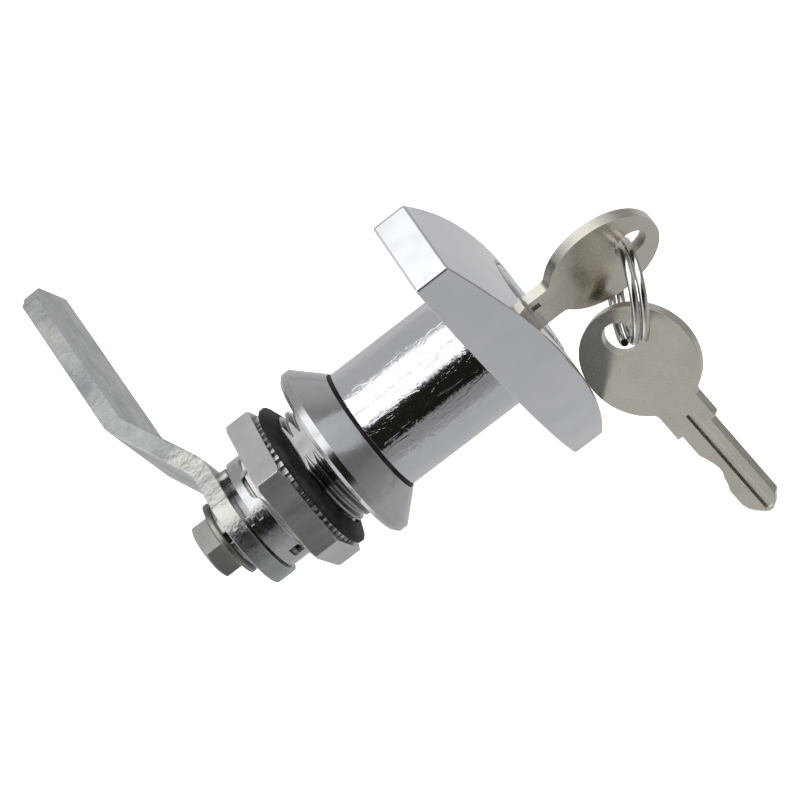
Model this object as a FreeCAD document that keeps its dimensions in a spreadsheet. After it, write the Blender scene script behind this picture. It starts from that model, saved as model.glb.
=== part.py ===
import FreeCAD, Part
import Sketcher
import math
import os
import re

# T-handle cam lock. Millimetres, +Z up. The lock axis is Y: -Y is the front, where the handle and the
# key are, and +Y is inside the cabinet. The origin is the centre of the collar's panel seat.
# At rest the handle bar stands along Z, the cam arm points along +X, and the key is in the plug.
# Angles round the axis are measured from +X towards +Z.

DIMS = [
    # collar and threaded body
    ("collar_rim_radius", 16.4), ("collar_rim_front", -2.0), ("collar_rim_edge", 0.7),
    ("collar_front_radius", 12.3), ("collar_front", -6.7), ("collar_front_edge", 0.35),
    ("bore_radius", 8.0), ("thread_radius", 10.95), ("thread_pitch", 1.5), ("thread_depth", 0.9),
    ("thread_start", 0.5), ("thread_end", 12.6), ("flat_distance", 9.85),
    ("rear_radius", 10.15), ("rear_end", 15.9), ("step_end", 17.35), ("step_middle", 215), ("step_span", 198),
    ("rear_bore_radius", 9.15), ("rear_bore_start", 12.8),
    ("seal_groove_in", 9.8), ("seal_groove_out", 11.7), ("seal_groove_depth", 0.6),
    ("window_length", 6.4), ("window_width", 3.0), ("window_centre", 12.9), ("window_across", -0.3),
    ("notch_start", 13.2), ("notch_end", 15.4), ("notch_low", -0.8), ("notch_high", 1.7),
    ("recess_first", 15.2), ("recess_second", 17.0), ("recess_size", 0.8), ("recess_depth", 0.5),
    ("recess_span", 7), ("recess_angle", 122),
    ("arc_slot_radius", 9.3), ("arc_slot_margin", 25),
    # handle casting
    ("bar_length", 72), ("bar_end_width", 14.5), ("bar_middle_width", 24.6),
    ("bar_bottom", -29.7), ("bar_end_top", -35.9), ("bar_top", -40.7), ("bar_edge", 0.5),
    ("neck_radius", 11.45), ("neck_end", -7.35), ("journal_radius", 7.95), ("journal_end", 15.2),
    ("clip_groove_radius", 7.2), ("clip_groove_start", 13.9), ("clip_groove_width", 1.0),
    ("pocket_radius", 9.25), ("pocket_end", -17.3), ("driver_bore_radius", 3.2), ("driver_bore_end", -1.0),
    ("spindle_bore_radius", 5.02), ("spindle_bore_start", 3.0),
    # spindle and the parts behind the cam
    ("spindle_radius", 5.0), ("spindle_start", 3.1), ("shoulder_radius", 6.8), ("shoulder_start", 15.3),
    ("cam_front", 17.7), ("square_size", 7.95), ("square_end", 20.8), ("tapped_radius", 3.05),
    ("tapped_depth", 10.5), ("cross_pin_radius", 1.25), ("cross_pin_place", 5.6), ("cross_pin_length", 15.4),
    ("dowel_radius", 1.5), ("dowel_place", 9.5), ("dowel_inner", 5.2), ("dowel_outer", 9.1),
    # cam
    ("cam_thickness", 3.3), ("cam_width", 21.6), ("boss_radius", 11), ("bend_one", 7.6), ("bend_two", 26.0),
    ("arm_front", 26.5), ("arm_slope", 0.058), ("tip_near", 57), ("tip_corner_x", 62.8), ("tip_corner_z", 5),
    ("tip_far", 69), ("inner_bend", 3), ("square_hole", 8.1),
    ("stop_pin_radius", 1.4), ("stop_pin_circle", 9.0), ("stop_pin_angle", 55), ("stop_pin_length", 3.4),
    ("spring_washer_in", 3.2), ("spring_washer_out", 6.3), ("spring_washer_height", 1.6),
    ("flange_radius", 7), ("flange_edge", 0.9), ("flange_height", 1.5), ("head_flats", 10),
    ("head_end", 27.5), ("shank_radius", 3.0), ("shank_length", 11),
    # sealing and clamping parts
    ("seal_section", 0.85), ("seal_front", -7.3), ("gasket_front", 4.1), ("gasket_radius", 13.9),
    ("gasket_bore", 11.0), ("gasket_back", 6.3), ("tooth_bore", 11.0), ("tooth_root", 12.5),
    ("tooth_tip", 13.3),
    ("tooth_height", 0.8), ("tooth_count", 56),
    ("nut_flats", 27), ("nut_start", 7.15), ("nut_height", 4.8), ("nut_bore", 11.0), ("nut_angle", 47),
    ("nut_chamfer", 0.9), ("nut_chamfer_width", 0.6),
    ("thrust_height", 0.95), ("thrust_in", 8.02), ("thrust_out", 9.0),
    ("circlip_in", 7.25), ("circlip_out", 8.9), ("circlip_height", 0.85), ("circlip_gap", 60),
    # lock cylinder
    ("shell_radius", 9.2), ("shell_front", -40.75), ("shell_back", -18.5), ("shell_recess_radius", 7.75),
    ("shell_recess", 1.0), ("plug_bore_radius", 6.5), ("groove_width", 5.4), ("groove_reach", 7.7),
    ("plug_radius", 6.45), ("plug_head_radius", 7.65), ("plug_front", -40.85), ("plug_back", -18.4),
    ("plug_tail_radius", 3.4), ("plug_tail_end", -17.4), ("keyway_width", 2.2), ("keyway_end", -19.5),
    ("wafer_first", -36.5), ("wafer_step", 3.4), ("wafer_height", 1.2), ("wafer_width", 5),
    ("wafer_radius", 6.38), ("wafer_window", 2.9), ("play", 0.06),
    ("pocket_low", -3.4), ("pocket_high", 2.8), ("pocket_side", 1.6), ("ear_low", -3.2), ("ear_high", -2.2),
    ("ear_side", 1.4), ("spring_radius", 0.42), ("spring_pitch", 0.62), ("spring_length", 4.68),
    ("spring_wire", 0.12), ("spring_side", 0.75), ("spring_bottom", -2.05),
    ("clip_radius", 7.4), ("clip_height", 0.7), ("driver_radius", 3), ("driver_end", -5.45),
    ("tongue_depth", 1.2), ("tongue_width", 1.6), ("crank_radius", 1), ("crank_throw", 1.13),
    ("crank_play", 0.08),
    ("tongue_half", 2.3), ("crank_end", -3.9),
    ("slug_radius", 2), ("slug_place", -3.2), ("slug_inner", -2.7), ("slug_outer", 7.75),
    ("cylinder_pin_radius", 1), ("cylinder_pin_place", -24), ("cylinder_pin_inner", 8.3),
    ("cylinder_pin_outer", 11.35),
    # keys and ring
    ("key_thickness", 2), ("key_offset", -1.4), ("bow_centre", -54.6), ("bow_radius", 10.6),
    ("shoulder_distance", 15.3), ("stub_width", 8.6), ("blade_width", 6.5), ("blade_length", 19.4),
    ("key_hole_distance", 5.3), ("key_hole_radius", 3.0), ("key_groove_width", 1.5),
    ("key_groove_depth", 0.5), ("key_groove_tail", 0.47),
    ("key_groove_right", -0.1), ("key_groove_left", 1.4), ("key_groove_lead", 2.8), ("key_neck_fillet", 1.2),
    ("key_shoulder_fillet", 0.4),
    ("ring_radius", 8.4), ("ring_wire", 0.7), ("ring_pitch", 1.55), ("ring_turns", 1.97),
]

# How the split ring and the spare key hang from the working key: places and directions.
RING_CENTRE = (-4.35, -54.57, -7.07)
RING_AXIS = (-0.309, -0.861, -0.405)
RING_WIRE_END = (-0.76, 0.50, -0.41)
SPARE_BOW = (-10.07, -49.42, -18.3)
SPARE_BLADE = (-0.728, -0.056, -0.683)
SPARE_PLAIN_EDGE = (-0.281, -0.884, 0.372)

# The cut edge of the key's blade and its tip: share of the blade's length, height above its lower edge.
KEY_CUTS = [
    (0, 0), (0.225, 0), (0.3, 0.7), (0.37, 1.2), (0.42, 1.4), (0.47, 1.35), (0.53, 0.85), (0.6, 0.5),
    (0.655, 0),
    (0.8, 0), (0.835, 0.08), (0.885, 0.5), (0.93, 1.3), (0.985, 2.7), (1, 3.3), (1, 4.2), (0.97, 5.1),
    (0.91, 6.05), (0.88, 6.5),
]

NEAR = 1e-3  # how near an edge's centre has to be to a point to be the one that is meant

doc = FreeCAD.newDocument("cam_lock")
sheet = doc.addObject("Spreadsheet::Sheet", "Dims")
for row, (alias, value) in enumerate(DIMS, start=1):
    sheet.set("A%d" % row, alias)
    sheet.set("B%d" % row, str(value))
    sheet.setAlias("B%d" % row, alias)
doc.recompute()

ALIASES = {alias for alias, value in DIMS}
pieces = []


def bound(expression):
    """The expression with each driving dimension's name pointed at the sheet."""
    return re.sub(r"[a-z_]+", lambda m: "Dims." + m.group(0) if m.group(0) in ALIASES else m.group(0),
        expression)


def num(expression):
    """The expression's value now, as a plain number."""
    value = sheet.evalExpression(bound(str(expression)).replace("Dims.", ""))
    return float(getattr(value, "Value", value))


def keep(piece, label):
    """Register a finished piece under its node name."""
    piece.Label = label
    pieces.append(piece)
    return piece


def new_body(name):
    return doc.addObject("PartDesign::Body", name + "_body")


def plane(body, role):
    return [o for o in body.Origin.OriginFeatures if o.Role == role][0]


def sketch_on(body, name, role, offset="0", turn=0):
    """A sketch on one of the body's origin planes, moved along the plane's normal and turned round Y."""
    sketch = body.newObject("Sketcher::SketchObject", name)
    sketch.AttachmentSupport = [(plane(body, role), "")]
    sketch.MapMode = "FlatFace"
    spin = FreeCAD.Rotation(FreeCAD.Vector(0, 1, 0), turn)
    sketch.AttachmentOffset = FreeCAD.Placement(FreeCAD.Vector(0, 0, num(offset)), spin)
    if offset != "0":
        sketch.setExpression("AttachmentOffset.Base.z", bound(offset))
    return sketch


def pin_point(sketch, geo, pos, across, along):
    """Fix one sketch point at two expressions, measured from the sketch's origin."""
    for kind, expression in (("DistanceX", across), ("DistanceY", along)):
        value = num(expression)
        index = sketch.addConstraint(Sketcher.Constraint(kind, -1, 1, geo, pos, value))
        sketch.setExpression("Constraints[%d]" % index, bound(expression))


def outline(sketch, points):
    """A closed outline of straight sides through points given as pairs of expressions."""
    vectors = [FreeCAD.Vector(num(a), num(b), 0) for a, b in points]
    count = len(points)
    first = sketch.GeometryCount
    for i in range(count):
        sketch.addGeometry(Part.LineSegment(vectors[i], vectors[(i + 1) % count]), False)
    for i in range(count):
        sketch.addConstraint(Sketcher.Constraint("Coincident", first + i, 2, first + (i + 1) % count, 1))
    for i, (a, b) in enumerate(points):
        pin_point(sketch, first + i, 1, a, b)


def circle(sketch, across, along, radius):
    centre = FreeCAD.Vector(num(across), num(along), 0)
    geo = sketch.addGeometry(Part.Circle(centre, FreeCAD.Vector(0, 0, 1), num(radius)), False)
    pin_point(sketch, geo, 3, across, along)
    index = sketch.addConstraint(Sketcher.Constraint("Radius", geo, num(radius)))
    sketch.setExpression("Constraints[%d]" % index, bound(radius))


def rectangle(sketch, low_a, high_a, low_b, high_b):
    outline(sketch, [(low_a, low_b), (high_a, low_b), (high_a, high_b), (low_a, high_b)])


def volume(body):
    doc.recompute()
    return body.Shape.Volume


def feature(body, kind, name, sketch, **settings):
    item = body.newObject("PartDesign::" + kind, name)
    item.Profile = sketch
    for key, value in settings.items():
        if isinstance(value, str) and key in ("Length", "Angle"):
            item.setExpression(key, bound(value))
        else:
            setattr(item, key, value)
    sketch.Visibility = False
    return item


def turned(body, name, points, kind="Revolution", angle="360", spin=0):
    """Turn a profile of (radius, place along Y) points round the lock axis, or cut it away."""
    sketch = sketch_on(body, name + "_profile", "XY_Plane", turn=spin)
    outline(sketch, points)
    item = feature(body, kind, name, sketch, ReferenceAxis=(sketch, ["V_Axis"]), Angle=angle)
    if angle != "360":
        item.Midplane = True
    return item


def across_axis(body, name, draw, start, end, kind="Pad"):
    """Pad or pocket a shape drawn in X and Z, between two places along the lock axis."""
    sketch = sketch_on(body, name + "_profile", "XZ_Plane", offset="-(%s)" % end)
    draw(sketch)
    item = feature(body, kind, name, sketch, Length="(%s) - (%s)" % (end, start))
    if kind == "Pocket":
        item.Reversed = True
    return item


def check_cut(body, item, before):
    """A cut that points the wrong way removes nothing: turn it round and look again."""
    if volume(body) >= before - 1e-4:
        item.Reversed = not item.Reversed
        if volume(body) >= before - 1e-4:
            raise RuntimeError(item.Name + " cuts nothing")


def cut_across(body, name, draw, start, end):
    before = volume(body)
    item = across_axis(body, name, draw, start, end, "Pocket")
    check_cut(body, item, before)
    return item


def pocketed(body, name, role, draw, depth, flip=False):
    """Cut a drawn shape from an origin plane straight out to a depth: down, or left, unless it is flipped."""
    before = volume(body)
    sketch = sketch_on(body, name + "_profile", role)
    draw(sketch)
    item = feature(body, "Pocket", name, sketch, Length=depth, Reversed=flip)
    if volume(body) >= before - 1e-4:
        raise RuntimeError(item.Name + " cuts nothing")
    return item


def drilled(body, name, role, across, along, radius, depth, flip=False):
    """A round hole from an origin plane, straight out to a depth on one side of it."""
    return pocketed(body, name, role, lambda s: circle(s, across, along, radius), depth, flip)


def fillet(body, name, radius, chosen):
    """Round the edges whose centre point the test picks."""
    doc.recompute()
    sharp = body.Tip
    edges = ["Edge%d" % (index + 1) for index,
        edge in enumerate(sharp.Shape.Edges) if chosen(edge.CenterOfMass)]
    if not edges:
        raise ValueError("%s finds no edge" % name)
    rounded = body.newObject("PartDesign::Fillet", name)
    rounded.Base = (sharp, edges)
    rounded.setExpression("Radius", bound(radius))
    doc.recompute()
    return rounded


def path(sketch, corners):
    """A closed outline. Each corner is (across, along, radius, side): the stretch to the next corner is
    straight when radius is None, or an arc of that radius with its centre on the left (1) or right (-1)."""
    count = len(corners)
    points = [FreeCAD.Vector(num(c[0]), num(c[1]), 0) for c in corners]
    ends = []
    for i, (across, along, radius, side) in enumerate(corners):
        start, end = points[i], points[(i + 1) % count]
        if radius is None:
            geo = sketch.addGeometry(Part.LineSegment(start, end), False)
        else:
            size = num(radius)
            chord = end - start
            left = FreeCAD.Vector(-chord.y, chord.x, 0).normalize()
            rise = math.sqrt(max(size ** 2 - (chord.Length / 2) ** 2, 0))
            centre = (start + end) * 0.5 + left * (side * rise)
            spokes = [start - centre, end - centre] if side > 0 else [end - centre, start - centre]
            turns = [math.atan2(spoke.y, spoke.x) for spoke in spokes]
            ring = Part.Circle(centre, FreeCAD.Vector(0, 0, 1), size)
            geo = sketch.addGeometry(Part.ArcOfCircle(ring, turns[0], turns[1]), False)
            index = sketch.addConstraint(Sketcher.Constraint("Radius", geo, size))
            sketch.setExpression("Constraints[%d]" % index, bound(radius))
        forward = radius is None or side > 0
        ends.append((geo, 1 if forward else 2, 2 if forward else 1))
    for i, (geo, first, last) in enumerate(ends):
        follower = ends[(i + 1) % count]
        sketch.addConstraint(Sketcher.Constraint("Coincident", geo, last, follower[0], follower[1]))
        pin_point(sketch, geo, first, corners[i][0], corners[i][1])


def hexagon(sketch, flats, angle):
    corner = "(%s / cos(30) / 2)" % flats
    outline(sketch, [("%s * cos(%s + %d)" % (corner, angle, 60 * i),
        "%s * sin(%s + %d)" % (corner, angle, 60 * i))
                     for i in range(6)])


def lock_housing():
    """Collar, M22 thread with two flats, and the stepped rear end, all one casting."""
    body = new_body("lock_housing")
    turned(body, "housing_blank", [
        ("bore_radius", "collar_front"),
        ("collar_front_radius - collar_front_edge", "collar_front"),
        ("collar_front_radius", "collar_front + collar_front_edge"),
        ("collar_rim_radius", "collar_rim_front"),
        ("collar_rim_radius", "-collar_rim_edge"),
        ("collar_rim_radius - collar_rim_edge", "0"),
        ("thread_radius", "0"),
        ("thread_radius", "thread_end"),
        ("rear_radius", "thread_end + 0.8"),
        ("rear_radius", "rear_end"),
        ("rear_bore_radius", "rear_end"),
        ("rear_bore_radius", "rear_bore_start"),
        ("bore_radius", "rear_bore_start")])
    turned(body, "raised_step", [
        ("rear_bore_radius", "rear_bore_start + 1"), ("rear_radius", "rear_bore_start + 1"),
        ("rear_radius", "step_end"), ("rear_bore_radius", "step_end")],
        angle="step_span", spin=-num("step_middle"))
    for side in (1, -1):
        near = "%d * flat_distance" % side
        far = "%d * (thread_radius + 2)" % side
        cut_across(body, "flat_%s" % ("top" if side > 0 else "bottom"),
                   lambda s: rectangle(s, "-thread_radius", "thread_radius", near, far), "0",
                   "thread_end + 0.8")
    before = volume(body)
    thread = sketch_on(body, "thread_profile", "XY_Plane")
    outline(thread, [
        ("thread_radius + 0.1", "thread_start - 0.62"), ("thread_radius - thread_depth",
        "thread_start - 0.1"),
        ("thread_radius - thread_depth", "thread_start + 0.1"),
        ("thread_radius + 0.1", "thread_start + 0.62")])
    helix = body.newObject("PartDesign::SubtractiveHelix", "thread")
    helix.Profile = thread
    helix.ReferenceAxis = (thread, ["V_Axis"])
    helix.Mode = 0
    helix.setExpression("Pitch", bound("thread_pitch"))
    helix.setExpression("Height", bound("thread_end - thread_start"))
    thread.Visibility = False
    check_cut(body, helix, before)
    turned(body, "seal_groove", [
        ("seal_groove_in", "collar_front - 1"), ("seal_groove_out", "collar_front - 1"),
        ("seal_groove_out", "collar_front + seal_groove_depth"),
        ("seal_groove_in", "collar_front + seal_groove_depth")], kind="Groove")
    drilled(body, "slug_slot_locked", "YZ_Plane", "slug_place", "0", "slug_radius + 0.08",
        "bore_radius + 2.2", True)
    drilled(body, "slug_slot_open", "XY_Plane", "0", "slug_place", "slug_radius + 0.08", "bore_radius + 2.2")
    turned(body, "turn_slot", [
        ("bore_radius - 1", "dowel_place - dowel_radius - 0.1"),
        ("arc_slot_radius", "dowel_place - dowel_radius - 0.1"),
        ("arc_slot_radius", "dowel_place + dowel_radius + 0.1"),
        ("bore_radius - 1", "dowel_place + dowel_radius + 0.1")],
        kind="Groove", angle="90 + arc_slot_margin", spin=225)
    rear_openings(body)
    return body


def rear_openings(body):
    """Oval window and square notch in the rear wall, and two shallow cast recesses beside them."""
    end = "window_width / 2"
    left, right = "window_across - window_length / 2 + " + end, "window_across + window_length / 2 - " + end
    low, high = "window_centre - " + end, "window_centre + " + end
    pocketed(body, "oval_window", "XY_Plane", lambda s: path(s, [
        (left, low, None, 0), (right, low, "window_width * 0.505", 1),
        (right, high, None, 0), (left, high, "window_width * 0.505", 1)]), "rear_radius + 2", True)
    pocketed(body, "side_notch", "YZ_Plane", lambda s: rectangle(
        s, "notch_start", "notch_end", "notch_low", "notch_high"), "rear_radius + 1")
    for i, place in enumerate(("recess_first", "recess_second")):
        start, end = place + " - recess_size / 2", place + " + recess_size / 2"
        turned(body, "cast_recess_%d" % (i + 1), [
            ("rear_radius - recess_depth", start), ("rear_radius + 1", start), ("rear_radius + 1", end),
            ("rear_radius - recess_depth", end)], kind="Groove", angle="recess_span",
            spin=-num("recess_angle"))


def handle_grip():
    """T-bar, neck and journal: one casting, hollow for the lock cylinder, the driver and the spindle."""
    body = new_body("handle_grip")
    half = "bar_length / 2"
    top = sketch_on(body, "bar_profile", "YZ_Plane")
    path(top, [
        ("bar_bottom", "-" + half, None, 0), ("bar_bottom", half, None, 0),
        ("bar_end_top", half, "((%s)^2 + (bar_end_top - bar_top)^2) / (bar_end_top - bar_top) / 2" % half, 1),
        ("bar_end_top", "-" + half, None, 0)])
    feature(body, "Pad", "bar", top, Length="bar_middle_width + 2", Midplane=True)
    bulge = "(bar_middle_width - bar_end_width) / 2"
    radius = "((%s)^2 + (%s)^2) / (%s) / 2" % (half, bulge, bulge)
    for name, side in (("right", 1), ("left", -1)):
        edge = "%d * bar_end_width / 2" % side
        far = "%d * (bar_middle_width / 2 + 3)" % side
        cut_across(body, "bar_side_" + name, lambda s: path(s, [
            (edge, half, radius, side * -1), (edge, "-" + half, None, 0),
            (far, "-" + half, None, 0), (far, half, None, 0)]), "bar_top - 1", "bar_bottom + 1")
    doc.recompute()
    sharp = body.Tip
    fillet = body.newObject("PartDesign::Fillet", "bar_edges")
    fillet.Base = (sharp, ["Edge%d" % (i + 1) for i in range(len(sharp.Shape.Edges))])
    fillet.setExpression("Radius", bound("bar_edge"))
    doc.recompute()
    turned(body, "neck", [
        ("0", "bar_bottom - 3"), ("neck_radius", "bar_bottom - 3"), ("neck_radius", "neck_end"),
        ("journal_radius", "neck_end"), ("journal_radius", "journal_end"), ("0", "journal_end")])
    turned(body, "cylinder_pocket", [
        ("0", "bar_top - 2"), ("pocket_radius", "bar_top - 2"), ("pocket_radius", "pocket_end"),
        ("driver_bore_radius", "pocket_end"), ("driver_bore_radius", "driver_bore_end"),
        ("0", "driver_bore_end")], kind="Groove")
    turned(body, "spindle_bore", [
        ("0", "spindle_bore_start"), ("spindle_bore_radius", "spindle_bore_start"),
        ("spindle_bore_radius", "journal_end + 1"), ("0", "journal_end + 1")], kind="Groove")
    clip_end = "clip_groove_start + clip_groove_width"
    turned(body, "clip_groove", [
        ("clip_groove_radius", "clip_groove_start"), ("journal_radius + 1", "clip_groove_start"),
        ("journal_radius + 1", clip_end), ("clip_groove_radius", clip_end)], kind="Groove")
    drilled(body, "slug_bore", "YZ_Plane", "slug_place", "0", "slug_radius + play", "journal_radius + 1",
        True)
    drilled(body, "slug_bore_end", "YZ_Plane", "slug_place", "0", "slug_radius + play", "-slug_inner + 0.4")
    drilled(body, "dowel_hole", "YZ_Plane", "dowel_place", "0", "dowel_radius", "journal_radius + 1")
    drilled(body, "cross_hole_top", "XY_Plane", "0", "cross_pin_place", "cross_pin_radius",
            "journal_radius + 1", True)
    drilled(body, "cross_hole_bottom", "XY_Plane", "0", "cross_pin_place", "cross_pin_radius",
            "journal_radius + 1")
    drilled(body, "pin_hole", "YZ_Plane", "cylinder_pin_place", "0", "cylinder_pin_radius",
            "neck_radius + 1", True)
    return body


def drive_spindle():
    """Steel insert: round shank in the journal, shoulder, square for the cam, tapped for the bolt."""
    body = new_body("drive_spindle")
    turned(body, "shank", [
        ("0", "spindle_start"), ("spindle_radius", "spindle_start"), ("spindle_radius", "shoulder_start"),
        ("shoulder_radius", "shoulder_start"), ("shoulder_radius", "cam_front - 0.02"),
        ("0", "cam_front - 0.02")])
    side = "square_size / 2"
    across_axis(body, "square", lambda s: rectangle(s, "-" + side, side, "-" + side, side),
                "cam_front - 0.5", "square_end")
    turned(body, "tapped_hole", [
        ("0", "square_end - tapped_depth"), ("tapped_radius", "square_end - tapped_depth"),
        ("tapped_radius", "square_end + 1"), ("0", "square_end + 1")], kind="Groove")
    drilled(body, "pin_hole_top", "XY_Plane", "0", "cross_pin_place", "cross_pin_radius",
        "spindle_radius + 1", True)
    drilled(body, "pin_hole_bottom", "XY_Plane", "0", "cross_pin_place", "cross_pin_radius",
        "spindle_radius + 1")
    return body


def rod(label, role, across, along, radius, start, end):
    """A plain round pin from an origin plane's normal direction, between two distances along it."""
    body = new_body(label)
    sketch = sketch_on(body, label + "_profile", role, offset=start)
    circle(sketch, across, along, radius)
    feature(body, "Pad", label + "_pad", sketch, Length="(%s) - (%s)" % (end, start))
    return body


def cam():
    """Plate cam: round boss on the square, two bends that step it away from the panel, slanted tip."""
    body = new_body("cam")
    profile = sketch_on(body, "cam_profile", "XY_Plane")
    back = "cam_front + cam_thickness"
    arm_end = "arm_front + arm_slope * (tip_far + 1 - bend_two)"
    outline(profile, [
        ("-boss_radius - 1", "cam_front"), ("bend_one + 1", "cam_front"), ("bend_two", "arm_front"),
        ("tip_far + 1", arm_end), ("tip_far + 1", arm_end + " + cam_thickness"),
        ("bend_two - 0.9", "arm_front + cam_thickness"), ("bend_one", back), ("-boss_radius - 1", back)])
    feature(body, "Pad", "cam_plate", profile, Length="boss_radius * 2 + 2", Midplane=True)
    doc.recompute()
    folds = {
        "inside": ("inner_bend", [("bend_one", back), ("bend_two", "arm_front")]),
        "outside": ("inner_bend + cam_thickness", [
            ("bend_one + 1", "cam_front"), ("bend_two - 0.9", "arm_front + cam_thickness")])}
    for name, (radius, places) in folds.items():
        fillet(body, "cam_bends_" + name, radius, lambda centre: any(
            abs(centre.x - num(x)) < NEAR and abs(centre.y - num(y)) < NEAR for x, y in places))
    half = "cam_width / 2"
    low, high = "cam_front - 1", arm_end + " + cam_thickness + 1"
    outer = "(boss_radius + 4)"
    cut_across(body, "side_near", lambda s: outline(s, [
        ("0", half), ("tip_near", half), ("tip_corner_x", "tip_corner_z"), ("tip_far", "-" + half),
        ("tip_far + 3", "-" + half), ("tip_far + 3", outer), ("0", outer)]), low, high)
    cut_across(body, "side_far", lambda s: rectangle(s, "0", "tip_far + 3", "-" + outer, "-" + half), low,
        high)
    cut_across(body, "boss_end", lambda s: path(s, [
        ("0", "boss_radius", "boss_radius", 1), ("-boss_radius", "0", "boss_radius", 1),
        ("0", "-boss_radius", None, 0), ("0", "-" + outer, None, 0),
        ("-" + outer, "-" + outer, None, 0), ("-" + outer, outer, None, 0), ("0", outer, None, 0)]), low,
        high)
    side = "square_hole / 2"
    cut_across(body, "square_hole_cut", lambda s: rectangle(s, "-" + side, side, "-" + side, side), low, high)
    cut_across(body, "pin_seat", lambda s: circle(
        s, "stop_pin_circle * cos(stop_pin_angle)", "stop_pin_circle * sin(stop_pin_angle)",
        "stop_pin_radius"), low, high)
    return body


def cam_stop_pin():
    body = new_body("cam_stop_pin")
    across_axis(body, "stop_pin", lambda s: circle(
        s, "stop_pin_circle * cos(stop_pin_angle)", "stop_pin_circle * sin(stop_pin_angle)",
        "stop_pin_radius"),
        "cam_front - 1.6", "cam_front - 1.6 + stop_pin_length")
    return body


def spring_washer():
    body = new_body("spring_washer")
    start = "cam_front + cam_thickness"
    turned(body, "split_coil", [
        ("spring_washer_in", start), ("spring_washer_out", start),
        ("spring_washer_out", start + " + spring_washer_height"),
        ("spring_washer_in", start + " + spring_washer_height")], angle="342", spin=60)
    return body


def cam_bolt():
    """Flanged hexagon bolt that holds the cam on the square."""
    body = new_body("cam_bolt")
    seat = "cam_front + cam_thickness + spring_washer_height"
    turned(body, "flange", [
        ("0", seat), ("flange_radius - 0.3", seat), ("flange_radius", seat + " + 0.3"),
        ("flange_radius", seat + " + flange_edge"), ("head_flats / 2 + 0.4", seat + " + flange_height"),
        ("0", seat + " + flange_height")])
    across_axis(body, "hexagon_head", lambda s: hexagon(s, "head_flats", "1"), seat + " + flange_edge",
        "head_end")
    turned(body, "head_chamfer", [
        ("head_flats / 2 * 0.93", "head_end + 0.01"), ("head_flats / 2 + 2", "head_end + 0.01"),
        ("head_flats / 2 + 2", "head_end - 1.3")], kind="Groove")
    turned(body, "bolt_shank", [
        ("0", seat + " - shank_length"), ("shank_radius", seat + " - shank_length"),
        ("shank_radius", seat + " + 0.5"), ("0", seat + " + 0.5")])
    return body


def ring_piece(label, inner, outer, start, end, **settings):
    """A plain ring of rectangular section round the lock axis."""
    body = new_body(label)
    turned(body, label + "_ring", [(inner, start), (outer, start), (outer, end), (inner, end)], **settings)
    return body


def neck_seal():
    """O-ring squeezed between the neck's shoulder and its groove in the collar's front face."""
    body = new_body("neck_seal")
    back = "collar_front + seal_groove_depth - 0.02"
    turned(body, "seal_ring", [
        ("seal_groove_in + 0.1", "seal_front + 0.3"), ("seal_groove_in + 0.4", "seal_front"),
        ("seal_groove_out - 0.4", "seal_front"), ("seal_groove_out - 0.05", "seal_front + 0.35"),
        ("seal_groove_out - 0.05", back), ("seal_groove_in + 0.1", back)])
    return body


def panel_gasket():
    body = new_body("panel_gasket")
    turned(body, "gasket_ring", [
        ("gasket_bore", "gasket_front"), ("gasket_bore + 0.5", "gasket_front"),
        ("gasket_radius - 0.3", "gasket_back - 1.3"), ("gasket_radius", "gasket_back - 1.0"),
        ("gasket_radius", "gasket_back - 0.3"), ("gasket_radius - 0.3", "gasket_back"),
        ("gasket_bore", "gasket_back")])
    return body


def tooth_washer():
    """Serrated lock washer between the gasket and the nut."""
    body = new_body("tooth_washer")
    start, end = "gasket_back + 0.02", "gasket_back + 0.02 + tooth_height"
    turned(body, "washer_ring", [
        ("tooth_bore", start), ("tooth_root", start), ("tooth_root", end), ("tooth_bore", end)])
    half = "180 / tooth_count"
    tooth = across_axis(body, "tooth", lambda s: outline(s, [
        ("tooth_root - 0.2", "-tooth_root * sin(%s) * 0.8" % half), ("tooth_tip", "-0.22"),
        ("tooth_tip", "0.22"),
        ("tooth_root - 0.2", "tooth_root * sin(%s) * 0.8" % half)]), start, end)
    pattern = body.newObject("PartDesign::PolarPattern", "teeth")
    pattern.Originals = [tooth]
    pattern.Axis = (plane(body, "Y_Axis"), [""])
    pattern.Angle = 360
    pattern.setExpression("Occurrences", bound("tooth_count"))
    body.Tip = pattern
    return body


def hex_nut():
    body = new_body("hex_nut")
    end = "nut_start + nut_height"
    across_axis(body, "nut_block", lambda s: hexagon(s, "nut_flats", "nut_angle"), "nut_start", end)
    corner = "nut_flats / cos(30) / 2"
    for name, face, inward in (("front", "nut_start", "+"), ("back", end, "-")):
        above, below = "%s %s -0.01" % (face, inward), "%s %s nut_chamfer" % (face, inward)
        turned(body, "nut_chamfer_" + name, [
            (corner + " - nut_chamfer_width", above), (corner + " + 1", above), (corner + " + 1", below)],
            kind="Groove")
    turned(body, "nut_bore_cut", [
        ("0", "nut_start - 1"), ("nut_bore", "nut_start - 1"), ("nut_bore", end + " + 1"),
        ("0", end + " + 1")],
        kind="Groove")
    return body


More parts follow.
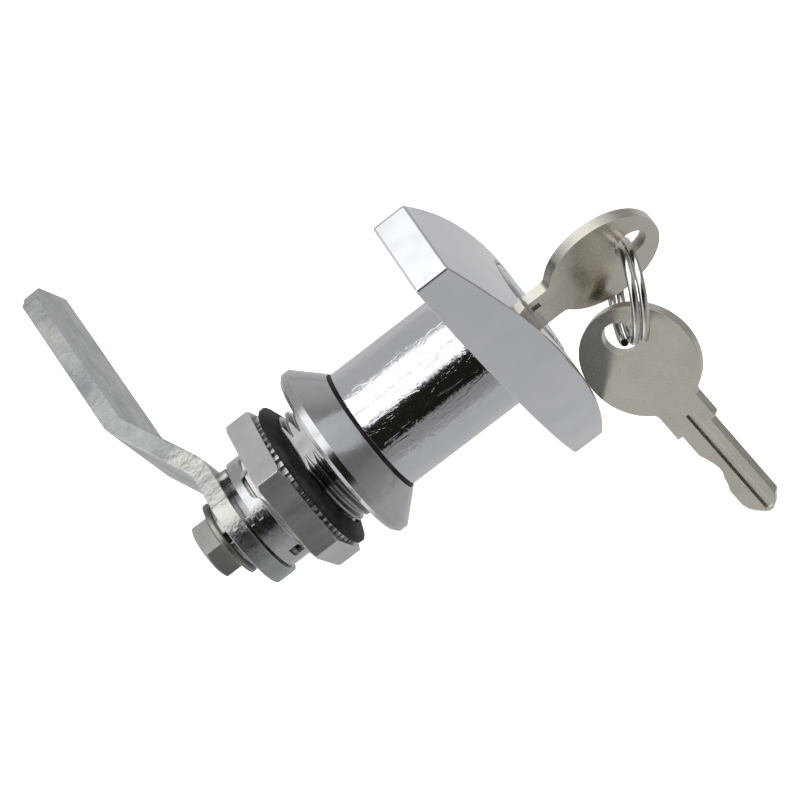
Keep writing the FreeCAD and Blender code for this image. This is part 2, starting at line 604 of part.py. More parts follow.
def cylinder_shell():
    """Fixed shell of the lock cylinder, with four broached grooves that the wafers lock into."""
    body = new_body("cylinder_shell")
    recess = "shell_front + shell_recess"
    turned(body, "shell_blank", [
        ("shell_recess_radius", "shell_front"), ("shell_radius - 0.4", "shell_front"),
        ("shell_radius", "shell_front + 0.4"), ("shell_radius", "shell_back"),
        ("plug_bore_radius", "shell_back"),
        ("plug_bore_radius", recess), ("shell_recess_radius", recess)])
    before = volume(body)
    sketch = sketch_on(body, "groove_profile", "XZ_Plane", offset="-(shell_back - 0.8)")
    rectangle(sketch, "-groove_width / 2", "groove_width / 2", "0", "groove_reach")
    groove = feature(body, "Pocket", "groove", sketch, Length="shell_back - wafer_first + 1")
    groove.Reversed = True
    check_cut(body, groove, before)
    pattern = body.newObject("PartDesign::PolarPattern", "grooves")
    pattern.Originals = [groove]
    pattern.Axis = (plane(body, "Y_Axis"), [""])
    pattern.Angle = 360
    pattern.Occurrences = 4
    body.Tip = pattern
    drilled(body, "pin_seat", "YZ_Plane", "cylinder_pin_place", "0", "cylinder_pin_radius",
        "shell_radius + 1", True)
    return body


def wafer_places():
    return ["wafer_first + wafer_step * %d" % i for i in range(5)]


def key_plug():
    """Plug that the key turns: keyway, five wafer slots with spring pockets, and a driving tail."""
    body = new_body("key_plug")
    head_back = "shell_front + shell_recess - 0.05"
    turned(body, "plug_blank", [
        ("0", "plug_front"), ("plug_head_radius - 0.5", "plug_front"),
        ("plug_head_radius", "plug_front + 0.5"),
        ("plug_head_radius", head_back), ("plug_radius", head_back), ("plug_radius", "plug_back"),
        ("plug_tail_radius", "plug_back"), ("plug_tail_radius", "plug_tail_end"), ("0", "plug_tail_end")])
    low = "key_offset - blade_width / 2 - play"
    high = "key_offset + blade_width / 2 + play"
    cut_across(body, "keyway", lambda s: rectangle(s, "-keyway_width / 2", "keyway_width / 2", low, high),
               "plug_front - 1", "keyway_end")
    cut_across(body, "keyway_mouth", lambda s: rectangle(
        s, "-keyway_width / 2", "keyway_width / 2", "key_offset - stub_width / 2 - play",
        "key_offset + stub_width / 2 + play"), "plug_front - 1", "bow_centre + shoulder_distance + play")
    for i, place in enumerate(wafer_places()):
        start = place + " - wafer_height / 2 - play"
        end = place + " + wafer_height / 2 + play"
        cut_across(body, "wafer_slot_%d" % (i + 1), lambda s: rectangle(
            s, "-wafer_width / 2 - play", "wafer_width / 2 + play", "-plug_radius - 1", "plug_radius + 1"),
            start, end)
        cut_across(body, "spring_pocket_%d" % (i + 1), lambda s: rectangle(
            s, "wafer_width / 2 - 0.5", "wafer_width / 2 + pocket_side", "pocket_low", "pocket_high"),
            start, end)
    across_tail = "plug_tail_end - tongue_depth"
    cut_across(body, "tail_slot", lambda s: rectangle(
        s, "-tongue_width / 2 - play", "tongue_width / 2 + play", "-tongue_half - play",
        "tongue_half + play"),
        across_tail, "plug_tail_end + 1")
    return body


def wafer(number, place):
    """Wafer tumbler: a plate with a window for the blade and an ear for its spring."""
    body = new_body("wafer_%d" % number)
    start, end = place + " - wafer_height / 2", place + " + wafer_height / 2"
    half = "wafer_width / 2"
    tall = "sqrt(wafer_radius^2 - (wafer_width / 2)^2)"
    across_axis(body, "wafer_plate_%d" % number, lambda s: path(s, [
        ("-" + half, "-" + tall, "wafer_radius", 1), (half, "-" + tall, None, 0),
        (half, tall, "wafer_radius", 1), ("-" + half, tall, None, 0)]), start, end)
    across_axis(body, "wafer_ear_%d" % number, lambda s: rectangle(
        s, half + " - 0.3", half + " + ear_side", "ear_low", "ear_high"), start, end)
    cut_across(body, "wafer_window_%d" % number, lambda s: rectangle(
        s, "-wafer_window / 2", "wafer_window / 2", "key_offset - blade_width / 2 - 2 * play",
        "key_offset + blade_width / 2 + 2 * play"), place + " - 2", place + " + 2")
    return body


def coil(radius, pitch, height, wire):
    """A round-wire helix along +Z from the origin, as one solid."""
    spine = Part.Wire(Part.makeHelix(pitch, height, radius))
    start = FreeCAD.Vector(radius, 0, 0)
    section = Part.Wire(Part.makeCircle(wire, start, FreeCAD.Vector(0, 1, pitch / (2 * math.pi * radius))))
    return spine.makePipeShell([section], True, True)


def wafer_springs():
    """Five small compression springs, one beside each wafer, between its ear and the plug."""
    one = coil(num("spring_radius"), num("spring_pitch"), num("spring_length"), num("spring_wire"))
    springs = []
    for place in wafer_places():
        spring = one.copy()
        spring.translate(FreeCAD.Vector(num("wafer_width / 2 + spring_side"), num(place),
            num("spring_bottom")))
        springs.append(spring)
    piece = doc.addObject("Part::Feature", "wafer_springs_shape")
    piece.Shape = Part.makeCompound(springs)
    return piece


def plug_clip():
    """Spring clip pressed on the plug's tail, which keeps the plug in its shell."""
    body = new_body("plug_clip")
    start = "plug_back + 0.15"
    turned(body, "clip_ring", [
        ("plug_tail_radius", start), ("clip_radius", start), ("clip_radius", start + " + clip_height"),
        ("plug_tail_radius", start + " + clip_height")], angle="300", spin=90)
    return body


def driver():
    """Tail bar of the plug: tongue in the plug's slot, round bar, and a crank pin that moves the slug."""
    body = new_body("driver")
    turned(body, "driver_bar", [
        ("0", "plug_tail_end + 0.02"), ("driver_radius", "plug_tail_end + 0.02"),
        ("driver_radius", "driver_end"),
        ("0", "driver_end")])
    across_axis(body, "driver_tongue", lambda s: rectangle(
        s, "-tongue_width / 2", "tongue_width / 2", "-tongue_half", "tongue_half"),
        "plug_tail_end - tongue_depth + 0.05", "plug_tail_end + 0.5")
    across_axis(body, "crank", lambda s: circle(
        s, "-crank_throw * cos(45)", "crank_throw * sin(45)", "crank_radius"), "driver_end - 0.5",
        "crank_end")
    return body


def locking_slug():
    """Round bolt that slides out of the journal into the housing, moved by the driver's crank pin."""
    body = rod("locking_slug", "YZ_Plane", "slug_place", "0", "slug_radius", "slug_inner", "slug_outer")
    middle = "-crank_throw * cos(45)"
    cut_across(body, "crank_slot", lambda s: rectangle(
        s, middle + " - crank_radius - crank_play", middle + " + crank_radius + crank_play",
        "-slug_radius - 1",
        "slug_radius + 1"), "slug_place - slug_radius - 1", "crank_end + 0.2")
    return body


def key(label):
    """Flat key along +Y: round bow, stub with shoulders, cut and grooved blade. It lies in the YZ plane."""
    body = new_body(label)
    sketch = sketch_on(body, label + "_profile", "YZ_Plane")
    stub, blade = "stub_width / 2", "blade_width / 2"
    neck = "sqrt(bow_radius^2 - (stub_width / 2)^2)"
    reach = "shoulder_distance + blade_length"
    corners = [(neck, "-" + stub, None, 0), ("shoulder_distance", "-" + stub, None, 0)]
    corners += [("shoulder_distance + blade_length * %g" % along, "-%s + %g" % (blade, depth), None, 0)
                for along, depth in KEY_CUTS]
    corners += [("shoulder_distance", blade, None, 0), ("shoulder_distance", stub, None, 0),
                (neck, stub, "bow_radius", 1), ("-bow_radius", "0", "bow_radius", 1)]
    path(sketch, corners)
    feature(body, "Pad", label + "_blank", sketch, Length="key_thickness", Midplane=True)
    fillet(body, label + "_neck", "key_neck_fillet", lambda centre: abs(centre.x) < NEAR
           and abs(centre.y - num(neck)) < NEAR and abs(abs(centre.z) - num(stub)) < NEAR)
    fillet(body, label + "_shoulder", "key_shoulder_fillet", lambda centre: abs(centre.x) < NEAR
           and abs(centre.y - num("shoulder_distance")) < NEAR and abs(centre.z - num(stub)) < NEAR)
    hole = sketch_on(body, label + "_hole_profile", "YZ_Plane")
    circle(hole, "-key_hole_distance", "0", "key_hole_radius")
    feature(body, "Pocket", label + "_hole", hole, Length="key_thickness + 2", Midplane=True)
    for name, side, place in (("right", 1, "key_groove_right"), ("left", -1, "key_groove_left")):
        before = volume(body)
        groove = sketch_on(body, "%s_groove_%s" % (label, name), "YZ_Plane",
                           offset="%d * key_thickness / 2" % side)
        rectangle(groove, "shoulder_distance - key_groove_lead", reach + " - key_groove_tail", place,
                  place + " + key_groove_width")
        cut = feature(body, "Pocket", groove.Name + "_cut", groove, Length="key_groove_depth",
            Reversed=side < 0)
        check_cut(body, cut, before)
    return body


def split_ring():
    """Double-wound split ring round the Y axis, with its first wire end towards +Z."""
    piece = doc.addObject("Part::Feature", "split_ring_shape")
    height = num("ring_pitch * ring_turns")
    piece.Shape = coil(num("ring_radius"), num("ring_pitch"), height, num("ring_wire"))
    turn = FreeCAD.Rotation(FreeCAD.Vector(), FreeCAD.Vector(1, 0, 0), FreeCAD.Vector(0, 1, 0), "ZYX")
    piece.Placement = FreeCAD.Placement(FreeCAD.Vector(0, -height / 2, 0), turn)
    return piece


def stand(piece, place, along, up):
    """Put a piece at a place, with its own Y axis along one direction and its Z axis along another."""
    y_axis, z_axis = FreeCAD.Vector(*along), FreeCAD.Vector(*up)
    turn = FreeCAD.Rotation(FreeCAD.Vector(), y_axis, z_axis, "YZX")
    piece.Placement = FreeCAD.Placement(FreeCAD.Vector(*place), turn).multiply(piece.Placement)


keep(lock_housing(), "lock_housing")
keep(neck_seal(), "neck_seal")
keep(panel_gasket(), "panel_gasket")
keep(tooth_washer(), "tooth_washer")
keep(hex_nut(), "hex_nut")
keep(ring_piece("thrust_washer", "thrust_in", "thrust_out", "rear_bore_start + 0.03",
                "rear_bore_start + 0.03 + thrust_height"), "thrust_washer")

keep(handle_grip(), "handle_grip")
keep(drive_spindle(), "drive_spindle")
keep(rod("spindle_cross_pin", "XY_Plane", "0", "cross_pin_place", "cross_pin_radius",
         "-cross_pin_length / 2", "cross_pin_length / 2"), "spindle_cross_pin")
keep(rod("stop_dowel", "YZ_Plane", "dowel_place", "0", "dowel_radius", "-dowel_outer", "-dowel_inner"),
     "stop_dowel")
keep(ring_piece("circlip", "circlip_in", "circlip_out", "clip_groove_start + 0.07",
                "clip_groove_start + 0.07 + circlip_height", angle="360 - circlip_gap", spin=-90), "circlip")
keep(cam(), "cam")
keep(cam_stop_pin(), "cam_stop_pin")
keep(spring_washer(), "spring_washer")
keep(cam_bolt(), "cam_bolt")
keep(cylinder_shell(), "cylinder_shell")
keep(rod("cylinder_pin", "YZ_Plane", "cylinder_pin_place", "0", "cylinder_pin_radius",
         "cylinder_pin_inner", "cylinder_pin_outer"), "cylinder_pin")

keep(key_plug(), "key_plug")
for number, place in enumerate(wafer_places(), start=1):
    keep(wafer(number, place), "wafer_%d" % number)
keep(wafer_springs(), "wafer_springs")
keep(plug_clip(), "plug_clip")
keep(driver(), "driver")
keep(locking_slug(), "locking_slug")

working_key = keep(key("key_1"), "key_1")
stand(working_key, (0, num("bow_centre"), num("key_offset")), along=(0, 1, 0), up=(0, 0, 1))
ring = keep(split_ring(), "split_ring")
stand(ring, RING_CENTRE, along=RING_AXIS, up=RING_WIRE_END)
spare_key = keep(key("key_2"), "key_2")
stand(spare_key, SPARE_BOW, along=SPARE_BLADE, up=SPARE_PLAIN_EDGE)

doc.recompute()
for item in doc.Objects:
    if "Invalid" in item.State or "Error" in item.State:
        raise RuntimeError(item.Name + " failed: " + " ".join(item.State))
os.makedirs("parts", exist_ok=True)
for piece in pieces:
    if piece.Shape.isNull() or not piece.Shape.isValid():
        raise RuntimeError(piece.Label + " has no valid shape")
for piece in pieces:
    piece.Shape.exportStep("parts/%s.step" % piece.Label)
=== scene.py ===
import math

import bmesh
import bpy
from mathutils import Matrix, Vector


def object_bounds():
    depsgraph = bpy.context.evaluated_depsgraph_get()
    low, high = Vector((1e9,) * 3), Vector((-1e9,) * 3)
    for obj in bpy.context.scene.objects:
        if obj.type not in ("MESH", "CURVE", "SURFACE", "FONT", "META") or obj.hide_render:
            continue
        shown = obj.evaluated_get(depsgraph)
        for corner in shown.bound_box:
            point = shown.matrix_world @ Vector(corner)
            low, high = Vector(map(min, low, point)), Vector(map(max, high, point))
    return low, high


MM = 0.001

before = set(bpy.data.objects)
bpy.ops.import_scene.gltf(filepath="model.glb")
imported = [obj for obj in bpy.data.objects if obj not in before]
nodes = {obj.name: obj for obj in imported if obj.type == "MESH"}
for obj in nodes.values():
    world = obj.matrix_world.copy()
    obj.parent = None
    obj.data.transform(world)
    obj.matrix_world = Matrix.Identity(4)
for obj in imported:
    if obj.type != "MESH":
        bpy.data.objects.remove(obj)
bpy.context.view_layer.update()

scene = bpy.context.scene
scene.view_settings.view_transform = "Standard"
scene.view_settings.look = "None"

# ---------------------------------------------------------------- camera

CAMERA_PLACE = Vector((-248.10, -66.56, 404.02)) * MM
CAMERA_RIGHT = Vector((-0.4706, -0.7897, -0.3935))
CAMERA_BACK = Vector((-0.5219, -0.1105, 0.8458))
CAMERA_LENS = 128.75
CAMERA_SENSOR = 36
CAMERA_NEAREST = 0.01
CAMERA_FARTHEST = 50


def add_camera():
    back = CAMERA_BACK.normalized()
    right = (CAMERA_RIGHT - CAMERA_RIGHT.dot(back) * back).normalized()
    up = back.cross(right)
    data = bpy.data.cameras.new("camera")
    data.lens = CAMERA_LENS
    data.sensor_width = CAMERA_SENSOR
    data.clip_start = CAMERA_NEAREST
    data.clip_end = CAMERA_FARTHEST
    camera = bpy.data.objects.new("camera", data)
    scene.collection.objects.link(camera)
    turn = Matrix((right, up, back)).transposed()
    camera.matrix_world = Matrix.Translation(CAMERA_PLACE) @ turn.to_4x4()
    scene.camera = camera


add_camera()

# ---------------------------------------------------------------- node helpers

# The Mix node has sockets of the same name for each data type, so its colours go by number.
MIX_FIRST = 6
MIX_SECOND = 7
MIX_RESULT = 2


class Graph:
    """A short way to write shader nodes."""

    def __init__(self, tree):
        self.tree = tree
        tree.nodes.clear()

    def add(self, kind, inputs=None, **settings):
        node = self.tree.nodes.new(kind)
        for key, value in settings.items():
            setattr(node, key, value)
        for key, value in (inputs or {}).items():
            self.put(node, key, value)
        return node

    def put(self, node, key, value):
        """Link a socket to an input, or set the input's own value."""
        socket = node.inputs[key]
        if isinstance(value, bpy.types.NodeSocket):
            self.tree.links.new(value, socket)
        else:
            socket.default_value = value

    def math(self, operation, *values):
        node = self.add("ShaderNodeMath", operation=operation)
        for index, value in enumerate(values):
            self.put(node, index, value)
        return node.outputs[0]

    def place(self, scale=(1, 1, 1), turn=(0, 0, 0)):
        """The point on the object, in the CAD frame and in metres, scaled and turned."""
        coord = self.add("ShaderNodeTexCoord").outputs["Object"]
        inputs = {"Vector": coord, "Scale": scale, "Rotation": turn}
        return self.add("ShaderNodeMapping", inputs).outputs[0]

    def axes(self, vector):
        return self.add("ShaderNodeSeparateXYZ", {0: vector}).outputs

    def noise(self, vector, scale, detail=2.0, rough=0.5, warp=0.0):
        inputs = {
            "Vector": vector, "Scale": scale, "Detail": detail, "Roughness": rough, "Distortion": warp,
        }
        return self.add("ShaderNodeTexNoise", inputs).outputs["Fac"]

    def spread(self, value, low, high, out_low=0.0, out_high=1.0):
        """A value between low and high, brought to between out_low and out_high and held there."""
        inputs = {
            "Value": value, "From Min": low, "From Max": high, "To Min": out_low, "To Max": out_high,
        }
        return self.add("ShaderNodeMapRange", inputs).outputs[0]

    def window(self, value, rise, fall):
        """1 between two soft borders, each given as the span over which it rises or falls."""
        return self.math("MULTIPLY", self.spread(value, *rise), self.spread(value, *fall, 1.0, 0.0))

    def band(self, value, low, high, soft):
        """1 between low and high, with both borders soft by the same amount on either side."""
        return self.window(value, (low - soft, low + soft), (high - soft, high + soft))

    def dimmed(self, level, mask, share):
        """A level that loses this share of itself where the mask is 1."""
        kept = self.math("SUBTRACT", 1.0, self.math("MULTIPLY", mask, share))
        return self.math("MULTIPLY", level, kept)

    def mix(self, factor, first, second):
        node = self.add("ShaderNodeMix", {"Factor": factor}, data_type="RGBA")
        self.put(node, MIX_FIRST, first)
        self.put(node, MIX_SECOND, second)
        return node.outputs[MIX_RESULT]

    def bump(self, height, depth, over=None):
        """A normal with relief this deep, in metres, over another normal if one is given."""
        node = self.add("ShaderNodeBump", {"Height": height, "Distance": depth, "Strength": 1.0})
        if over is not None:
            self.put(node, "Normal", over)
        return node.outputs[0]


def material(name):
    made = bpy.data.materials.new(name)
    made.use_nodes = True
    graph = Graph(made.node_tree)
    shader = graph.add("ShaderNodeBsdfPrincipled")
    out = graph.add("ShaderNodeOutputMaterial")
    graph.tree.links.new(shader.outputs[0], out.inputs[0])
    return made, graph, shader


def metal(name):
    made, graph, shader = material(name)
    shader.inputs["Metallic"].default_value = 1.0
    return made, graph, shader


def rgb(red, green, blue):
    return (red, green, blue, 1.0)


# ---------------------------------------------------------------- zones of the finishes

# Spans along the lock axis, y in metres, over which a zone fades in or out.
BAR_FRONT_END = (-0.0350, -0.0345)
NECK_START = (-0.0300, -0.0292)
NECK_END = (-0.0072, -0.0064)
THREAD_START = (0.0002, 0.0006)
THREAD_END = (0.0122, 0.0128)
REAR_START = (0.0118, 0.0128)

# The painted shadow in the gap between the cylinder and the handle: radii from the lock axis in
# metres.
JOINT_INNER = 0.00910
JOINT_OUTER = 0.0100
JOINT_SOFT = 0.00005

# The length of x, in metres, over which a hammered stretch fades out at either end.
HAMMERED_FADE = 0.004

# ---------------------------------------------------------------- finishes

# Cosines between the rounded and the flat normal where an edge begins to show and shows fully.
EDGE_START = 0.995
EDGE_FULL = 0.9
EDGE_SAMPLES = 6

HAIRLINE_SCALE = 2600
HAIRLINE_STRETCH = 0.012
HAIRLINE_GLOSS = 0.12


def soft_edges(g, radius):
    """The surface normal with its edges rounded by radius, and a mask that is 1 on those edges."""
    rounded = g.add("ShaderNodeBevel", {"Radius": radius}, samples=EDGE_SAMPLES).outputs[0]
    flat = g.add("ShaderNodeNewGeometry").outputs["Normal"]
    dot = g.add("ShaderNodeVectorMath", {0: rounded, 1: flat}, operation="DOT_PRODUCT")
    return rounded, g.spread(dot.outputs["Value"], EDGE_START, EDGE_FULL)


def hairlines(g, turn):
    """Fine straight scratches: noise drawn out along one direction."""
    scale = (HAIRLINE_SCALE, HAIRLINE_SCALE * HAIRLINE_STRETCH, HAIRLINE_SCALE)
    lines = g.noise(g.place(scale, turn), scale=1, detail=2, rough=0.6)
    return g.spread(lines, 0.60, 0.75)


def cylinder_gap_shadow(g):
    """A mask of the painted shadow in the gap round the cylinder, on the front of the handle, where
    shade falls.
    """
    x, y, z = g.axes(g.place())
    squares = g.math("ADD", g.math("MULTIPLY", x, x), g.math("MULTIPLY", z, z))
    ring = g.band(g.math("SQRT", squares), JOINT_INNER, JOINT_OUTER, JOINT_SOFT)
    return g.math("MULTIPLY", ring, g.spread(y, *BAR_FRONT_END, 1.0, 0.0))


def chrome():
    """Bright plating of the handle: a polished bar, and a neck with a cast skin drawn out round it."""
    made, g, s = metal("chrome")
    patch = g.noise(g.place(), scale=90, detail=3)
    colour = g.mix(g.spread(patch, 0.35, 0.65), rgb(0.725, 0.74, 0.765), rgb(0.77, 0.78, 0.795))
    rounded, edge = soft_edges(g, radius=0.0003)
    colour = g.mix(edge, colour, rgb(0.86, 0.86, 0.85))
    # Painted shadow: a near-black ring on the front of the bar, in the gap round the cylinder.
    painted_gap_shadow = rgb(0.02, 0.02, 0.02)
    g.put(s, "Base Color", g.mix(cylinder_gap_shadow(g), colour, painted_gap_shadow))
    smear = g.noise(g.place((1, 0.35, 1)), scale=260, detail=5, rough=0.6)
    g.put(s, "Roughness", g.spread(smear, 0.3, 0.7, 0.06, 0.13))
    neck = g.window(g.axes(g.place())[1], NECK_START, NECK_END)
    roll = g.noise(g.place(), scale=70, detail=2)
    peel = g.noise(g.place((520, 1400, 520)), scale=1, detail=2, rough=0.5, warp=0.8)
    folds = g.noise(g.place((420, 150, 420)), scale=1, detail=3, rough=0.6, warp=1.5)
    crease = g.spread(folds, 0.50, 0.60)
    normal = g.bump(roll, depth=0.00022, over=rounded)
    normal = g.bump(g.math("MULTIPLY", peel, neck), depth=0.00005, over=normal)
    normal = g.bump(g.math("MULTIPLY", crease, neck), depth=0.000018, over=normal)
    g.put(s, "Normal", normal)
    return made


def cast_chrome():
    """Duller plating of the housing: a darker thread, and a rear end as rough as it was cast."""
    made, g, s = metal("cast_chrome")
    patch = g.noise(g.place(), scale=120, detail=4, rough=0.6)
    colour = g.mix(g.spread(patch, 0.32, 0.68), rgb(0.50, 0.505, 0.52), rgb(0.60, 0.605, 0.61))
    y = g.axes(g.place())[1]
    thread = g.window(y, THREAD_START, THREAD_END)
    colour = g.mix(g.math("MULTIPLY", thread, 0.75), colour, rgb(0.30, 0.30, 0.29))
    rounded, edge = soft_edges(g, radius=0.00012)
    g.put(s, "Base Color", g.mix(edge, colour, rgb(0.80, 0.80, 0.78)))
    smear = g.noise(g.place((1, 0.4, 1)), scale=300, detail=5, rough=0.65)
    g.put(s, "Roughness", g.spread(smear, 0.3, 0.7, 0.12, 0.24))
    roll = g.noise(g.place(), scale=90, detail=3)
    skin = g.noise(g.place((700, 1300, 700)), scale=1, detail=4, rough=0.65, warp=0.6)
    rear = g.spread(y, *REAR_START, 0.15, 1.0)
    normal = g.bump(roll, depth=0.00025, over=rounded)
    g.put(s, "Normal", g.bump(g.math("MULTIPLY", skin, rear), depth=0.00009, over=normal))
    return made


def steel(
        name, light, dark, rough, grain, depth, stretch=(1, 1, 1), yellow=None, edge=0.00025,
        lines=None, line_depth=0.000004, pit_depth=0.0, hammered=None):
    """Plated or bare steel, or another plain metal.

    It has patchy colour, varied gloss, an uneven surface and worn bright edges. If they are given, it
    also has a yellow tint in places, hairlines along a direction, pits, and a hammered stretch of x
    outside which the surface is smoother.
    """
    made, g, s = metal(name)
    patch = g.noise(g.place(), scale=160, detail=4, rough=0.6)
    colour = g.mix(g.spread(patch, 0.3, 0.7), rgb(*dark), rgb(*light))
    if yellow:
        tint = g.noise(g.place(), scale=75, detail=3)
        colour = g.mix(g.spread(tint, 0.48, 0.7, 0.0, 0.9), colour, rgb(*yellow))
    rounded, worn = soft_edges(g, edge)
    bright = tuple(min(1.0, channel * 1.22) for channel in light)
    colour = g.mix(worn, colour, rgb(*bright))
    haze = g.noise(g.place(stretch), scale=420, detail=5, rough=0.65)
    gloss = g.spread(haze, 0.3, 0.7, rough - 0.05, rough + 0.08)
    surface = g.noise(g.place(stretch), scale=grain, detail=4, rough=0.6)
    if hammered:
        low, high = hammered
        x = g.axes(g.place())[0]
        inside = g.window(x, (low - HAMMERED_FADE, low), (high, high + HAMMERED_FADE))
        surface = g.math("MULTIPLY", surface, g.spread(inside, 0.0, 1.0, 0.25, 1.0))
    normal = g.bump(surface, depth, over=rounded)
    if lines:
        marks = hairlines(g, lines)
        gloss = g.math("MULTIPLY_ADD", marks, HAIRLINE_GLOSS, gloss)
        normal = g.bump(marks, -line_depth, over=normal)
    if pit_depth:
        spots = g.spread(g.noise(g.place(), scale=900, detail=1), 0.74, 0.78)
        colour = g.mix(g.math("MULTIPLY", spots, 0.5), colour, rgb(0.2, 0.19, 0.17))
        normal = g.bump(spots, -pit_depth, over=normal)
    g.put(s, "Base Color", colour)
    g.put(s, "Roughness", gloss)
    g.put(s, "Normal", normal)
    return made


def rubber():
    """Black rubber with grey dust in patches and a fine matt skin."""
    made, g, s = material("black_rubber")
    dust = g.noise(g.place(), scale=300, detail=5, rough=0.7)
    dusty = g.mix(g.spread(dust, 0.45, 0.8), rgb(0.006, 0.006, 0.007), rgb(0.026, 0.026, 0.03))
    g.put(s, "Base Color", dusty)
    g.put(s, "Roughness", g.spread(dust, 0.3, 0.7, 0.38, 0.6))
    s.inputs["Specular IOR Level"].default_value = 0.14
    g.put(s, "Normal", g.bump(g.noise(g.place(), scale=2600, detail=3), depth=0.00001))
    return made


def acetal():
    """Pale moulded plastic, slightly cloudy."""
    made, g, s = material("acetal")
    cloud = g.noise(g.place(), scale=200, detail=3)
    g.put(s, "Base Color", g.mix(cloud, rgb(0.72, 0.71, 0.67), rgb(0.82, 0.81, 0.78)))
    g.put(s, "Roughness", g.spread(cloud, 0.3, 0.7, 0.38, 0.5))
    g.put(s, "Normal", g.bump(g.noise(g.place(), scale=2400, detail=2), depth=0.000006))
    return made


STEELS = {
    "nut_plated": dict(
        light=(0.70, 0.705, 0.675), dark=(0.60, 0.605, 0.58), rough=0.40, grain=900, depth=0.000012,
        stretch=(1, 0.2, 1), lines=(0, 0, 0.4)),
    "washer_steel": dict(
        light=(0.50, 0.50, 0.51), dark=(0.36, 0.36, 0.37), rough=0.24, grain=900, depth=0.000008,
        edge=0.0001),
    "zinc_plated": dict(
        light=(0.47, 0.49, 0.485), dark=(0.29, 0.31, 0.315), rough=0.28, grain=520, depth=0.00026,
        yellow=(0.56, 0.56, 0.50), edge=0.0004, pit_depth=0.00004, hammered=(-0.012, 0.012)),
    "bolt_zinc": dict(
        light=(0.36, 0.355, 0.32), dark=(0.26, 0.26, 0.245), rough=0.36, grain=700, depth=0.00009,
        yellow=(0.40, 0.38, 0.30), edge=0.0003),
    "inner_steel": dict(
        light=(0.58, 0.58, 0.59), dark=(0.44, 0.44, 0.46), rough=0.3, grain=700, depth=0.00001),
    "cylinder_zinc": dict(
        light=(0.76, 0.77, 0.79), dark=(0.68, 0.69, 0.71), rough=0.13, grain=700, depth=0.000012,
        edge=0.0002),
    "brass_wafer": dict(
        light=(0.74, 0.53, 0.22), dark=(0.62, 0.43, 0.17), rough=0.26, grain=800, depth=0.00001,
        edge=0.0001),
    "nickel": dict(
        light=(0.72, 0.675, 0.595), dark=(0.64, 0.595, 0.52), rough=0.24, grain=200, depth=0.00004,
        stretch=(1, 0.3, 1), edge=0.00012, lines=(0.5, 0.2, 0.3), line_depth=0.000001),
    "ring_nickel": dict(
        light=(0.74, 0.72, 0.68), dark=(0.60, 0.58, 0.54), rough=0.10, grain=700, depth=0.000008,
        edge=0.0001),
}

FINISHES = {
    "chrome_plated": chrome(),
    "cast_chrome": cast_chrome(),
    "black_rubber": rubber(),
    "acetal": acetal(),
}
for steel_name, steel_values in STEELS.items():
    FINISHES[steel_name] = steel(steel_name, **steel_values)

SLOTS = {
    "chrome_plated": ("lock_housing", "handle_grip"),
    "black_rubber": ("neck_seal", "panel_gasket"),
    "nut_plated": ("hex_nut",),
    "washer_steel": ("tooth_washer", "circlip", "plug_clip", "wafer_springs"),
    "acetal": ("thrust_washer",),
    "zinc_plated": ("cam", "cam_stop_pin", "spring_washer", "cam_bolt"),
    "inner_steel": (
        "drive_spindle", "spindle_cross_pin", "stop_dowel", "cylinder_pin", "driver", "locking_slug"),
    "cylinder_zinc": ("cylinder_shell", "key_plug"),
    "brass_wafer": tuple("wafer_%d" % number for number in range(1, 6)),
    "nickel": ("key_1", "key_2"),
    "ring_nickel": ("split_ring",),
}

# Nodes that look duller than the rest of their slot.
OWN_FINISH = {"lock_housing": "cast_chrome", "cam_bolt": "bolt_zinc"}

for slot_name, members in SLOTS.items():
    for member in members:
        slots = nodes[member].data.materials
        slots.clear()
        slots.append(FINISHES[OWN_FINISH.get(member, slot_name)])

# ---------------------------------------------------------------- studio

FLOOR_HALF = 6.0
FLOOR_GLOW = 0.62

TENT_RADIUS = 1.4

# Strips of the tent that are darker than its shell: where they start and end in degrees round the
# lock axis, how soft their borders are, and how much they take off.
TENT_STRIPS = (
    (150, 192, 1.5, 0.10),
    (191.5, 194.5, 0.5, 0.15),
    (-27, -23, 0.8, 0.18),
)

SOFT_BOX_PLACE = (0.15, -0.25, 1.1)
SOFT_BOX_SIZE = 0.9
SOFT_BOX_ENERGY = 14
WORLD_LEVEL = 0.8


def add_floor():
    """A pale floor at the lowest point of the object, which reflections don't see."""
    mesh = bpy.data.meshes.new("floor")
    corners = [(x * FLOOR_HALF, y * FLOOR_HALF, 0) for x, y in ((-1, -1), (1, -1), (1, 1), (-1, 1))]
    mesh.from_pydata(corners, [], [(0, 1, 2, 3)])
    floor = bpy.data.objects.new("floor", mesh)
    floor.location.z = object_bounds()[0][2]
    scene.collection.objects.link(floor)
    made, g, s = material("floor")
    s.inputs["Base Color"].default_value = rgb(0.8, 0.8, 0.8)
    s.inputs["Roughness"].default_value = 0.9
    s.inputs["Specular IOR Level"].default_value = 0.0
    s.inputs["Emission Color"].default_value = rgb(1, 1, 1)
    s.inputs["Emission Strength"].default_value = FLOOR_GLOW
    mesh.materials.append(made)
    floor.visible_glossy = False


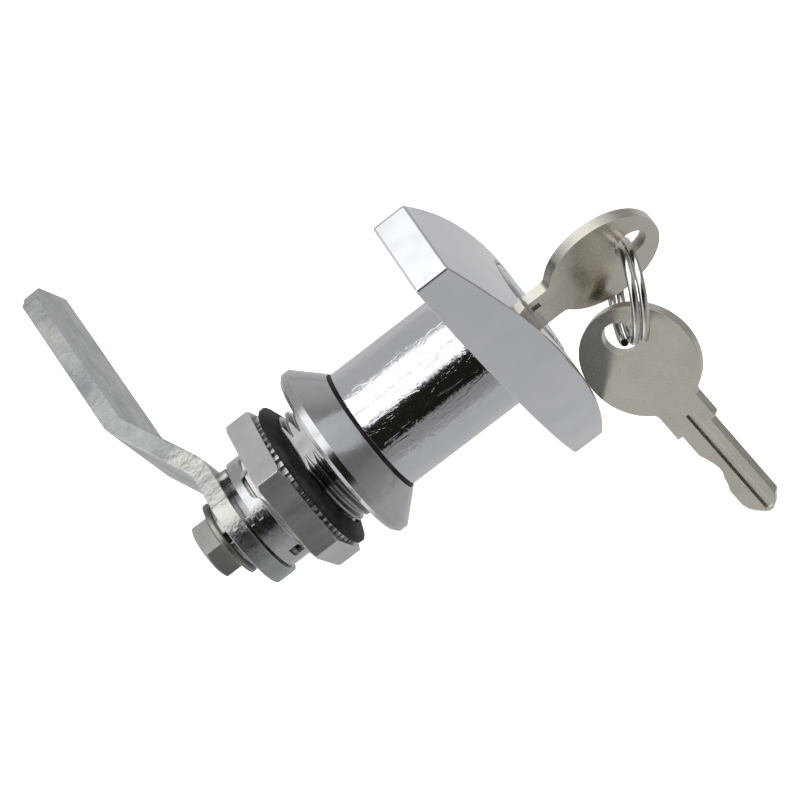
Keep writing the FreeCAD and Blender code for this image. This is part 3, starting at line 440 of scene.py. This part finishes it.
def tent_light(g):
    """Colour and strength of the tent's light.

    Turns are in degrees round the lock axis, from x towards z. Places are parts of the radius.
    """
    coord = g.add("ShaderNodeTexCoord").outputs["Object"]
    unit = g.add("ShaderNodeVectorMath", {0: coord}, operation="NORMALIZE").outputs[0]
    x, y, z = g.axes(unit)
    degrees = g.math("MULTIPLY", g.math("ARCTAN2", z, x), 180 / math.pi)
    turn = g.math("WRAP", degrees, 240.0, -120.0)

    shell = g.spread(x, -0.6, 0.6, 0.50, 0.60)
    shell = g.math("MULTIPLY_ADD", g.spread(z, -0.3, 0.1), -0.12, shell)
    for low, high, soft, darker in TENT_STRIPS:
        shell = g.math("MULTIPLY_ADD", g.band(turn, low, high, soft), -darker, shell)
    shell = g.math("MULTIPLY", shell, g.spread(y, -0.86, -0.74, 0.62, 1.0))
    shell = g.math("MULTIPLY", shell, g.spread(y, 0.68, 0.78, 1.0, 2.1))

    # The front end falls off below and grows brighter above.
    front = g.spread(y, -0.80, -0.70, 1.0, 0.0)
    below = g.spread(z, -0.60, -0.30, -0.16, 0.0)
    above = g.spread(z, 0.35, 0.62, 0.0, 0.50)
    shell = g.math("MULTIPLY_ADD", front, g.math("ADD", below, above), shell)

    # A pale box overhead, with a dimmer gap along its middle.
    box = g.math("MULTIPLY", g.band(turn, 55, 111, 6), g.band(y, -0.8, 0.85, 0.1))
    box = g.dimmed(box, g.band(turn, 84, 88, 1.0), 0.55)
    lit = g.math("MULTIPLY_ADD", box, 1.2, shell)

    # A dark card beside the box, with a trace of olive.
    card = g.math("MULTIPLY", g.band(turn, 113, 160, 1.5), g.band(y, -0.62, 0.60, 0.06))
    tone = g.mix(card, rgb(0.97, 0.985, 1.0), rgb(1.0, 0.93, 0.68))
    return tone, g.dimmed(lit, card, 0.965)


def add_tent():
    """A shell of soft cards round the object, seen only in reflections."""
    mesh = bpy.data.meshes.new("tent")
    bm = bmesh.new()
    bmesh.ops.create_icosphere(bm, subdivisions=4, radius=TENT_RADIUS)
    bm.to_mesh(mesh)
    bm.free()
    tent = bpy.data.objects.new("tent", mesh)
    scene.collection.objects.link(tent)
    made = bpy.data.materials.new("tent")
    made.use_nodes = True
    made.cycles.emission_sampling = "NONE"
    g = Graph(made.node_tree)
    tone, level = tent_light(g)
    emit = g.add("ShaderNodeEmission", {"Color": tone, "Strength": level})
    out = g.add("ShaderNodeOutputMaterial")
    g.tree.links.new(emit.outputs[0], out.inputs[0])
    mesh.materials.append(made)
    tent.visible_camera = False
    tent.visible_diffuse = False
    tent.visible_shadow = False
    tent.visible_transmission = False


def add_lights():
    """An even pale world and one large soft box above, which reflections don't see."""
    world = bpy.data.worlds.new("studio")
    scene.world = world
    world.use_nodes = True
    background = world.node_tree.nodes["Background"]
    background.inputs["Color"].default_value = rgb(0.92, 0.93, 0.95)
    background.inputs["Strength"].default_value = WORLD_LEVEL
    data = bpy.data.lights.new("soft_box", "AREA")
    data.size = SOFT_BOX_SIZE
    data.energy = SOFT_BOX_ENERGY
    soft_box = bpy.data.objects.new("soft_box", data)
    scene.collection.objects.link(soft_box)
    soft_box.location = SOFT_BOX_PLACE
    soft_box.rotation_euler = (-soft_box.location).to_track_quat("-Z", "Y").to_euler()
    soft_box.visible_glossy = False
    soft_box.visible_camera = False


add_floor()
add_tent()
add_lights()
